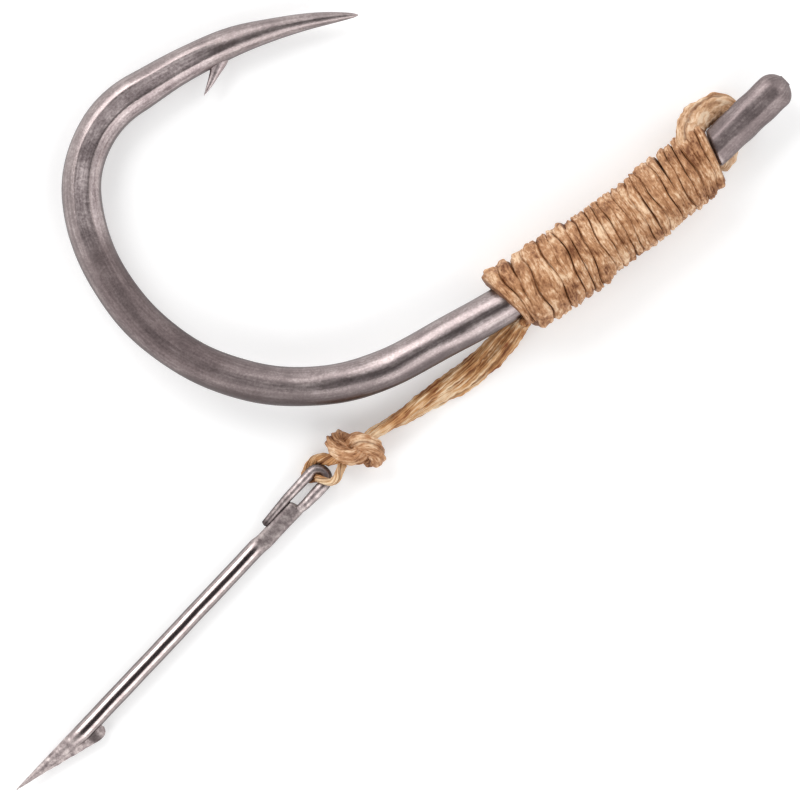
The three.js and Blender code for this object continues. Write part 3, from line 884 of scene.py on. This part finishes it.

# %% [markdown]
# Wear could be painted by hand, but then nothing says where it lies. Here it is worked out as
# marks on the points. Oxide stayed on the head, on the left of the bend and deepest inside it.
# The hammered flat and the bevel inside it are bright. Painted shade darkens both flanks, where the
# steel mirrors the shaded table, and it reaches highest along the outside of the bend's lower left.

# %% Marks of wear and painted shade on the hook
# Along the bar, mm: where a mark starts, is full, starts to fade and is gone
worn_reach = (80, 104, 122, 146)
ground_reach = (134, 144, 174, 180)
outer_reach = (56, 76, 96, 116)
# The same for the bevel, in cosines of the angle round the bar
bevel_reach = (0.4, 0.6, 0.85, 0.97)
deepest_at, deepest_length, deepest_angle = 122, 15, 2.0

sine, cosine = np.sin(hook_angle), np.cos(hook_angle)
on_head = 1 - smooth_step(hook_stations, head_length, neck_start)[:, None]
inner_top = np.clip(np.cos(hook_angle - deepest_angle), 0, 1) ** 1.5
deepest = np.exp(-(((hook_stations - deepest_at) / deepest_length) ** 4))[:, None] * inner_top
worn = between(hook_stations, *worn_reach)[:, None]
patina = np.clip(0.6 * worn + 0.7 * on_head + 1.1 * deepest, 0, 1.25)
on_flat = smooth_step(sine, flat_height + 0.012, flat_height + 0.03)
bevel = between(-cosine, *bevel_reach) * (sine > 0)
ground = between(hook_stations, *ground_reach)[:, None] * np.maximum(on_flat, bevel)
# Painted shade on both flanks, reaching higher on the outside of the bend's lower left
outer_from = 0.86 - 0.74 * between(hook_stations, *outer_reach)[:, None]
painted_shade = 0.8 * (smooth_step(-cosine, 0.86, 1.0) + smooth_step(cosine, outer_from, 1.0))
painted_shade = painted_shade * (1 - 0.6 * on_head)


def with_barb(values, on_barb=0.0):
    """Values of the bar's own points, nothing for its two ends, and one value for the barb."""
    return np.concatenate([values.ravel(), [0, 0], np.full(barb_rings[..., 0].size + 2, on_barb)])


hook_marks = {
    "patina": with_barb(patina), "ground": with_barb(ground, 0.9), "painted_shade": with_barb(painted_shade),
}
hook = closed_tubes(
    "forged_hook", [(hook_rings, hook_stations), (barb_rings, barb_along)], "hook", hook_finish,
    marks=hook_marks,
)
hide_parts("main_hook")

# %% [markdown]
# ## The lashing
#
# The cord is wound on from the head toward the bend: nine fine turns, then three and a half
# thicker ones, then a stride under the bar to the exit. By hand no two turns are alike, so
# their spacing wavers, and the first two lean towards the head on one side. A screw modifier
# would give even turns on a straight bar only. This line follows the bar's own bend.

# %% Winding line
seat_gap = 0.3
fine_cord, fine_pitch, fine_turns = 2.06, 2.62, 9.0
thick_cord, thick_pitch, thick_turns = 2.68, 3.2, 3.4
last_stride = 3.7
exit_return = 1.2
exit_drops = np.array([(0, 0, -0.8), (0, 0, -2.6)])
exit_cord = 1.9
leader_width = 2.5
lashing_start = 17.9
head_lean, lean_turns = 1.15, 1.8
wound_turns = fine_turns + thick_turns
turns = wound_turns + 0.91
stations_per_turn = 96
start_angle = math.radians(144)


def cord_at(turn):
    """Cord diameter: fine, then thick after nine turns, then thinning into the leader."""
    thicker = smooth_step(turn, fine_turns - 0.3, fine_turns + 0.5)
    thinner = smooth_step(turn, turns - 0.25, turns)
    wound_size = fine_cord + (thick_cord - fine_cord) * thicker
    return wound_size + (exit_cord - wound_size) * thinner


def course_at(turn):
    """Distance along the bar: one pitch a turn, the last stride within half a turn, then a little
    way back."""
    fine = np.minimum(turn, fine_turns)
    thick = np.clip(turn - fine_turns, 0, thick_turns)
    stride = smooth_step(turn, wound_turns, wound_turns + 0.5)
    back = smooth_step(turn, wound_turns + 0.55, wound_turns + 0.9)
    wound_on = lashing_start + fine * fine_pitch + thick * thick_pitch
    return wound_on + stride * last_stride - back * exit_return


# %% Place of each turn
turn = np.linspace(0, turns, int(turns * stations_per_turn))
winding_angle = start_angle - 2 * math.pi * turn
lean = head_lean * np.exp(-((turn / lean_turns) ** 2))
waver = 0.1 * np.sin(2 * math.pi * 0.41 * turn) + 0.08 * np.sin(2 * math.pi * 1.37 * turn + 1)
hold = 1 - smooth_step(turn, turns - 1, turns - 0.3)
course = course_at(turn) + lean * (np.cos(winding_angle) - 0.45) + waver * hold
cord_size = cord_at(turn)
winding_radius = bar_radius + seat_gap + cord_size / 2
winding_radius = winding_radius + 0.07 * np.sin(2 * math.pi * 0.73 * turn + 2) * hold
winding_line = laid_down(along_bar(
    course, winding_radius * np.cos(winding_angle), winding_radius * np.sin(winding_angle)
))
winding_line = np.vstack([winding_line, winding_line[-1] + exit_drops])
winding_middle = laid_down(along_bar(course, 0 * course, 0 * course))
winding_middle = np.vstack([winding_middle, winding_middle[[-1, -1]]])

# %% [markdown]
# In a tight winding the cord spreads until it meets its neighbour. So it is as wide as the
# spacing of its turns, a little wider at the last ones, and then as wide as the leader.

# %% Width of the cord
pitch_here = np.gradient(course_at(turn), turn)
last_turns = smooth_step(turn, wound_turns - 0.8, wound_turns - 0.3)
pitch_here = np.where(turn > wound_turns - 0.5, thick_pitch, pitch_here) + 1.3 * last_turns
print("spacing of the turns, mm:", np.round([pitch_here.min(), pitch_here.max()], 2))
to_leader = np.append(smooth_step(turn, turns - 0.4, turns), [1, 1])
spread = np.append(1.06 * pitch_here, [leader_width, leader_width])
spread = spread + (leader_width - spread) * to_leader
deep_size = np.append(cord_size + 0.3, [leader_width, leader_width])

# %% [markdown]
# Pulled tight over the bar, the two plies look like flat strands side by side. The wide side of
# the cord lies along the bar, so its side direction is square to both the winding and the way
# out from the bar.

# %% Flat strands
shoulder_power = 0.8
strand_gap_shade = 0.75


def side_strands(line, sides, width, height):
    """Two flat strands side by side. The first takes a share of the width that wanders about a
    half. A rim is (0.56 cos a, 0.5 sin a) with cos and sin raised to the power 0.8, which squares
    its shoulders."""
    along = lengths_along(line)
    tops = unit(np.cross(directions(line), sides))
    share = 0.5 + 0.08 * np.sin(0.37 * along) + 0.06 * np.sin(0.93 * along + 1)
    ends = rounded_ends(along)
    rim = round_angles(ring_points)
    cosine, sine = (signed_power(f(rim), shoulder_power) for f in (np.cos, np.sin))
    tubes = []
    for strand, part, middle in ((0, share, share / 2 - 0.5), (1, 1 - share, share / 2)):
        size = ridges(rim, along, strand)
        rise = 0.05 * np.sin(0.61 * along + 2 * strand) + 0.04 * np.sin(1.9 * along + strand)
        x = middle[:, None] + 0.56 * part[:, None] * cosine[None] * size
        y = rise[:, None] + 0.5 * sine[None] * size
        rings = placed_round(
            line, sides, x * ends * width[:, None], tops, y * ends * height[:, None]
        )
        tubes.append((rings, along + second_ply_shift * strand))
    return tubes


# %% Lashing
winding_step = 0.3
winding_even = even_line(winding_line, winding_step)
old_along, new_along = lengths_along(winding_line), lengths_along(winding_even)
new_along = new_along * old_along[-1] / new_along[-1]


def resampled(values):
    """Values at the old stations, read off at the even ones."""
    if np.ndim(values) == 1:
        return np.interp(new_along, old_along, values)
    return np.column_stack([np.interp(new_along, old_along, values[:, i]) for i in range(3)])


outward = unit(winding_even - resampled(winding_middle))
winding_sides = unit(np.cross(outward, directions(winding_even)))
winding_tubes = resting(
    side_strands(winding_even, winding_sides, resampled(spread), resampled(deep_size))
)
# Painted shade in the gaps between the flat strands and between turns
in_gaps = strand_gap_shade * in_crevices(
    winding_tubes, lambda c: smooth_step(np.abs(c), 0.68, 0.95)
)
lashing = closed_tubes(
    "shank_winding", winding_tubes, "hook", winding_finish,
    marks={"crevice_shade": in_gaps},
)
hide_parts("shank_lashing")
print("cord in the lashing, mm:", round(float(old_along[-1])))

free_cord(
    "bight_behind_head", head_loop_route, "hook", bight_finish,
    width=[3.0, 3.8, 4.4, 4.4, 3.9, 3.4, 2.8], flat=0.58, lay=-60.0, level=(1.0, 0.0, 0.0),
    nodes=["head_loop"],
)

# %% [markdown]
# ## The needle
#
# One wire: hammered to a one-sided blade with a slant cut that makes its barb, left round
# and bright for most of its length, flattened before the eye, and there drawn thin, bent
# round and lapped back along the flat. Three closed surfaces that run into each other give it:
# the wire with its flat, the blade and the eye. One surface would need to fork at the flat.

# %% Needle wire and flat
needle_wire = 2.9
needle_radius = needle_wire / 2
wire_point_length = 14.0
wire_point_power = 0.75
plate_start, plate_length = 54.8, 9.1
plate_end = plate_start + plate_length
plate_width, plate_thickness = 2.8, 2.3
plate_side_set, plate_rise = 0.2, 0.1
plate_forging_length = 1.6
plate_corner_power = 0.55
plate_rounding = 0.4
wire_end = plate_end + 0.25
shank_sides = 48


def needle_shank(stations, sides):
    """Rings across the wire: a circle drawn to a point along its left side by a power of 0.75,
    passing into a rounded slab, where cos and sin are raised to the power 0.55."""
    x = stations[:, None]
    angle = round_angles(sides)[None]
    drawn = np.clip(x / wire_point_length, 0.0005, 1) ** wire_point_power
    radius = needle_radius * drawn * (1 + 0.004 * np.sin(0.6 * x + 2 * angle))
    flat = smooth_step(x, plate_start, plate_start + plate_forging_length)
    power = 1 - (1 - plate_corner_power) * flat
    cosine, sine = signed_power(np.cos(angle), power), signed_power(np.sin(angle), power)
    half_wide = radius + (plate_width / 2 - radius) * flat
    half_thick = radius + (plate_thickness / 2 - radius) * flat
    ends = np.clip((wire_end - x) / 0.5, 0.02, 1) ** 0.5
    y = needle_radius - radius - plate_side_set * flat + half_wide * cosine * ends
    z = needle_radius + plate_rise * flat + half_thick * sine * ends
    y = y + (0.012 * np.sin(0.35 * x) + 0.008 * np.sin(0.95 * x + 1)) * drawn
    return np.stack(np.broadcast_arrays(x, y, z), axis=-1)


shank_x = np.concatenate([
    wire_point_length * np.linspace(0.003, 1, 50) ** 1.5,
    np.linspace(wire_point_length, plate_start, 60)[1:],
    np.linspace(plate_start, plate_end - plate_rounding, 40)[1:],
    np.linspace(plate_end - plate_rounding, wire_end, 10)[1:],
])
shank_rings = needle_shank(shank_x, shank_sides)
print("wire and flat, mm:", round(float(shank_x[-1]), 1))

# %% [markdown]
# The blade was hammered out from the wire to one side and cut off at a slant, which leaves a
# corner that holds in the catch as a barb. Its edge is thin and a little nicked by the file. A
# flat plate with a bevel would have the outline, but not the swell toward the back.

# %% Blade
blade_length = 16.5
blade_width = 4.8
blade_thickness = 1.9
blade_edge_thickness = 0.5
barb_end_slant = 0.8
corner_from, corner_rounding = 0.92, 0.3
edge_nicks = 0.05
blade_sides = 40


def needle_blade(sides, stations=70):
    """Rings across the blade: width grows in step with the length, and thickness falls from the
    back to the edge. The last ring is cut off at a slant, and its corner is rounded."""
    t = np.linspace(0.01, 1, stations)[:, None]
    angle = round_angles(sides)[None]
    x = blade_length * t
    lobe = 1 - corner_rounding * np.clip((t - corner_from) / (1 - corner_from), 0, 1) ** 2
    half_wide = np.maximum(blade_width * t, point_tip_diameter) / 2 * lobe
    growth = np.minimum(1, 0.2 + x / 10)
    inward = (1 + np.cos(angle)) / 2
    thickness = (blade_edge_thickness + (blade_thickness - blade_edge_thickness) * inward) * growth
    slant = barb_end_slant * smooth_step(t, 0.86, 1) * (1 - inward) * lobe
    nicks = edge_nicks * np.sin(x * 3.1) * np.sin(x * 1.3 + 1) * (1 - inward) ** 2
    y = needle_radius - half_wide + (half_wide + nicks) * np.cos(angle)
    z = needle_radius + thickness / 2 * np.sin(angle)
    return np.stack(np.broadcast_arrays(x + slant, y, z), axis=-1), x[:, 0]


blade_rings, blade_x = needle_blade(blade_sides)
print("widest of the blade, mm:", round(float(np.ptp(blade_rings[..., 1], axis=1).max()), 2))

# %% [markdown]
# The eye is the wire's own end. It rises out of the flat on the right, turns half round in a
# level plane and comes back down along the flat's left side, thickest in the turn. Its line
# is a few points with a half circle between them, as a smith would bend it round a pin.

# %% Eye
turn_radius = eye_hole_width / 2 + eye_wire / 2
turn_middle = needle_length - eye_wire / 2 - turn_radius
eye_z = needle_radius + 0.75
eye_tail_end = 58.1
eye_left = eye_side_set + turn_radius
eye_step = 0.12
eye_size_at = [0, 2, 4.2, 7, 12, 17, 24]
eye_sizes = [1.1, 1.35, 1.65, 1.95, 1.8, 1.6, 1.25]
eye_sides = 24
turn_points = 24
bend = np.linspace(-math.pi / 2, math.pi / 2, turn_points)
eye_line = even_line(np.vstack([
    [(plate_end - 3, -0.5, eye_z - 0.75), (plate_end - 1, -0.7, eye_z - 0.4)],
    [(plate_end + 1.2, -0.95, eye_z)],
    np.column_stack([
        turn_middle + turn_radius * np.cos(bend),
        eye_side_set + turn_radius * np.sin(bend),
        np.full(turn_points, eye_z),
    ]),
    [(plate_end, eye_left, eye_z), (plate_end - 3, eye_left - 0.15, eye_z - 0.15)],
    [(eye_tail_end, eye_left - 0.3, eye_z - 0.3)],
]), eye_step)


def round_wire(line, diameter, sides):
    """Rings square to a line, their side direction level."""
    along = lengths_along(line)
    tangents = directions(line)
    side = unit(np.cross((0.0, 0.0, 1.0), tangents))
    top = np.cross(tangents, side)
    angle = round_angles(sides)[None]
    size = diameter[:, None] / 2 * rounded_ends(along, reach=0.25, least=0.03)
    return placed_round(line, side, size * np.cos(angle), top, size * np.sin(angle)), along


eye_size = np.interp(lengths_along(eye_line), eye_size_at, eye_sizes)
eye_rings, eye_along = round_wire(eye_line, eye_size, eye_sides)
print("wire of the eye, mm:", round(float(eye_along[-1]), 1))

# %% [markdown]
# Marks on the needle: the hammer's dull face on flat, eye and blade, and painted shade along the
# shank's flanks, over the flat, inside the eye's turn, along its tail, at its cut end and in the
# blade's hollow. Reaches are millimetres along the wire, the blade or the eye.

# %% Marks of wear, painted shade and the needle
shank_rim = np.abs(np.cos(round_angles(shank_sides)))[None]
eye_rim = np.abs(np.cos(round_angles(eye_sides)))[None]
lower_half = (np.cos(round_angles(blade_sides)) < -0.25)[None]
on_plate = smooth_step(shank_x, plate_start - 1.2, plate_start + 1)
on_blade = 1 - smooth_step(shank_x, 11, 15)
worked = np.maximum(on_plate, on_blade)[:, None]
# Painted shade: darker edges along the shank and over the flat, in the blade's hollow, and round
# the eye's turn, tail and cut end
shank_edge_shade = 0.8 * smooth_step(shank_rim, 0.72, 0.96) * (1 - worked)
shank_edge_shade += 0.35 * smooth_step(shank_x, plate_start - 0.5, plate_start + 1)[:, None]
blade_hollow_shade = 0.75 * between(blade_x, 13.6, 14.3, 15.0, 15.7)[:, None] * lower_half
on_bend = 0.5 * between(eye_along, 8, 9, 12, 13.5)
on_tail = 0.4 * smooth_step(eye_along, 18, 19) + 0.5 * smooth_step(eye_along, 23.2, 24)
eye_shade = 0.7 * smooth_step(eye_rim, 0.8, 0.98) + np.maximum(on_bend, on_tail)[:, None]

# Each surface's points are followed by the middles of its two ends
hammered = np.concatenate([
    np.repeat(worked, shank_sides), [0, 1],
    np.full(blade_rings[..., 0].size + 2, 1.0),
    np.full(eye_rings[..., 0].size + 2, 0.65),
])
needle_shade = np.concatenate([
    shank_edge_shade.ravel(), [0, 0],
    blade_hollow_shade.ravel(), [0, 0],
    np.minimum(eye_shade, 1).ravel(), [1, 1],
])
needle_tubes = [
    (turned(rings, needle_heading) + needle_start, along)
    for rings, along in (
        (shank_rings, shank_x), (blade_rings, blade_x), (eye_rings, eye_along),
    )
]
needle = closed_tubes(
    "wire_needle", needle_tubes, "needle", needle_finish,
    marks={"hammered": hammered, "painted_shade": needle_shade},
)
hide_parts("barbed_needle")

# %% [markdown]
# ## Table and light
#
# The picture has a white ground, a soft light from all round and a dark place straight above,
# where the camera stood. Polished steel shows that dark place as a stripe along its crest, so
# a dark card hangs there, which the camera itself looks through. The table and the world look
# white to the camera and in mirrors, and still light the hook at a plain level.

# %% Table
table_size = 6.0
table_white = "#e8e8e8"
table_glow = 0.3


def sheet(name, corners, finish):
    """A flat sheet with one face."""
    mesh = bpy.data.meshes.new(name)
    mesh.from_pydata(corners, [], [tuple(range(len(corners)))])
    mesh.materials.append(finish)
    flat_piece = bpy.data.objects.new(name, mesh)
    bpy.context.collection.objects.link(flat_piece)
    return flat_piece


def seen_white(tree):
    """1 for rays from the camera, from a mirror or through glass, else 0."""
    rays = add(tree, "ShaderNodeLightPath")
    seen = rays.outputs["Is Camera Ray"]
    for kind in ("Is Glossy Ray", "Is Transmission Ray"):
        either = add(tree, "ShaderNodeMath", {0: seen, 1: rays.outputs[kind]}, operation="MAXIMUM")
        seen = either.outputs[0]
    return seen


table_finish, tree, shader = new_finish("white_table")
tree.nodes.remove(shader)
matt = add(tree, "ShaderNodeBsdfDiffuse", {"Color": to_linear(table_white)})
glow_strength = add(
    tree, "ShaderNodeMath", {0: seen_white(tree), 1: table_glow}, operation="MULTIPLY"
)
glow = add(tree, "ShaderNodeEmission", {"Strength": glow_strength.outputs[0]})
both = add(tree, "ShaderNodeAddShader", {0: matt.outputs[0], 1: glow.outputs[0]})
tree.links.new(both.outputs[0], tree.nodes["Material Output"].inputs["Surface"])

half = table_size / 2
table_corners = [(-half, -half, 0), (half, -half, 0), (half, half, 0), (-half, half, 0)]
table = sheet("table", table_corners, table_finish)

# %% Dark card over the hook
card_height = 0.8
card_radius = 0.43
card_corners = 64
card_grey = "#3a3538"

card_finish, tree, shader = new_finish("black_card")
shader.inputs["Base Color"].default_value = to_linear(card_grey)
shader.inputs["Roughness"].default_value = 0.9
card_turn = round_angles(card_corners)
card_rim = np.column_stack([
    card_radius * np.cos(card_turn), card_radius * np.sin(card_turn),
    np.full(card_corners, card_height),
])
card = sheet("dark_card", card_rim.tolist(), card_finish)
card.visible_camera = False

# %% [markdown]
# Four soft lamps stand round the table, the strongest at the upper left, where the highlights
# in the photograph are strongest. They are large and low, so that shadows stay soft and faint.

# %% World and lamps
world_light = 0.62
lamp_distance = 1.4
lamp_size = 0.9

world = bpy.data.worlds.new("studio")
bpy.context.scene.world = world
world.use_nodes = True
tree = world.node_tree
level = add(tree, "ShaderNodeMapRange", {0: seen_white(tree), 3: world_light, 4: 1.0})
tree.links.new(level.outputs[0], tree.nodes["Background"].inputs["Strength"])
tree.nodes["Background"].inputs["Color"].default_value = (1, 1, 1, 1)


def soft_lamp(name, azimuth, elevation, watts):
    """A square lamp that looks at the middle of the table."""
    data = bpy.data.lights.new(name, "AREA")
    data.size = lamp_size
    data.energy = watts
    lamp = bpy.data.objects.new(name, data)
    a, e = math.radians(azimuth), math.radians(elevation)
    out = Vector((math.cos(a) * math.cos(e), math.sin(a) * math.cos(e), math.sin(e)))
    lamp.location = out * lamp_distance
    lamp.rotation_mode = "QUATERNION"
    lamp.rotation_quaternion = out.to_track_quat("Z", "Y")
    bpy.context.collection.objects.link(lamp)


soft_lamp("lamp_upper_left", 130, 38, 10)
soft_lamp("lamp_lower_right", -50, 38, 5.5)
soft_lamp("lamp_upper_right", 40, 34, 4)
soft_lamp("lamp_lower_left", 220, 34, 4)

# %% [markdown]
# ## Settings
#
# Colours are shown as they are, without a film look. The box of each finished mesh is printed
# when it is made.

# %% Settings
bpy.context.scene.view_settings.view_transform = "Standard"
bpy.context.view_layer.update()
